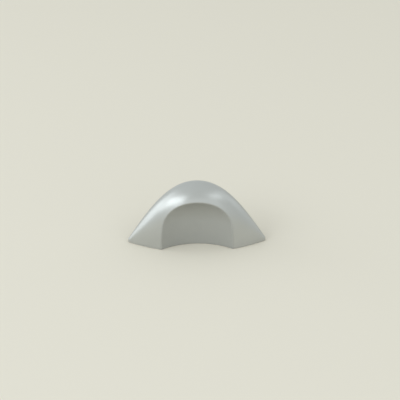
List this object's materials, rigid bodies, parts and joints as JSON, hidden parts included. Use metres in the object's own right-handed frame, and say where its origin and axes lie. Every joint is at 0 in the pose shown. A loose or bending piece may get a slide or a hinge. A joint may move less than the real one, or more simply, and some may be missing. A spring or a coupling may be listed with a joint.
{
  "type": "furniture handle",
  "caption": "Small arched pull handle for a drawer or cabinet door, with a concave finger recess under its front lip and tapped screw holes in its flat mounting face.",
  "frame": {"origin": "on the mounting face, midway between the two screw holes", "axes": "+Z out of the mounting face towards the crest, +X from tip to tip along the line of the screws, and the finger recess opens towards -Y, which is down on a drawer front"},
  "size_m": [0.05, 0.0151, 0.0241],
  "materials": {
    "satin_chrome": "matt chrome plating on a zinc alloy casting, soft satin sheen"
  },
  "bodies": {
    "root": {"handle": "satin_chrome"}
  },
  "joints": []
}
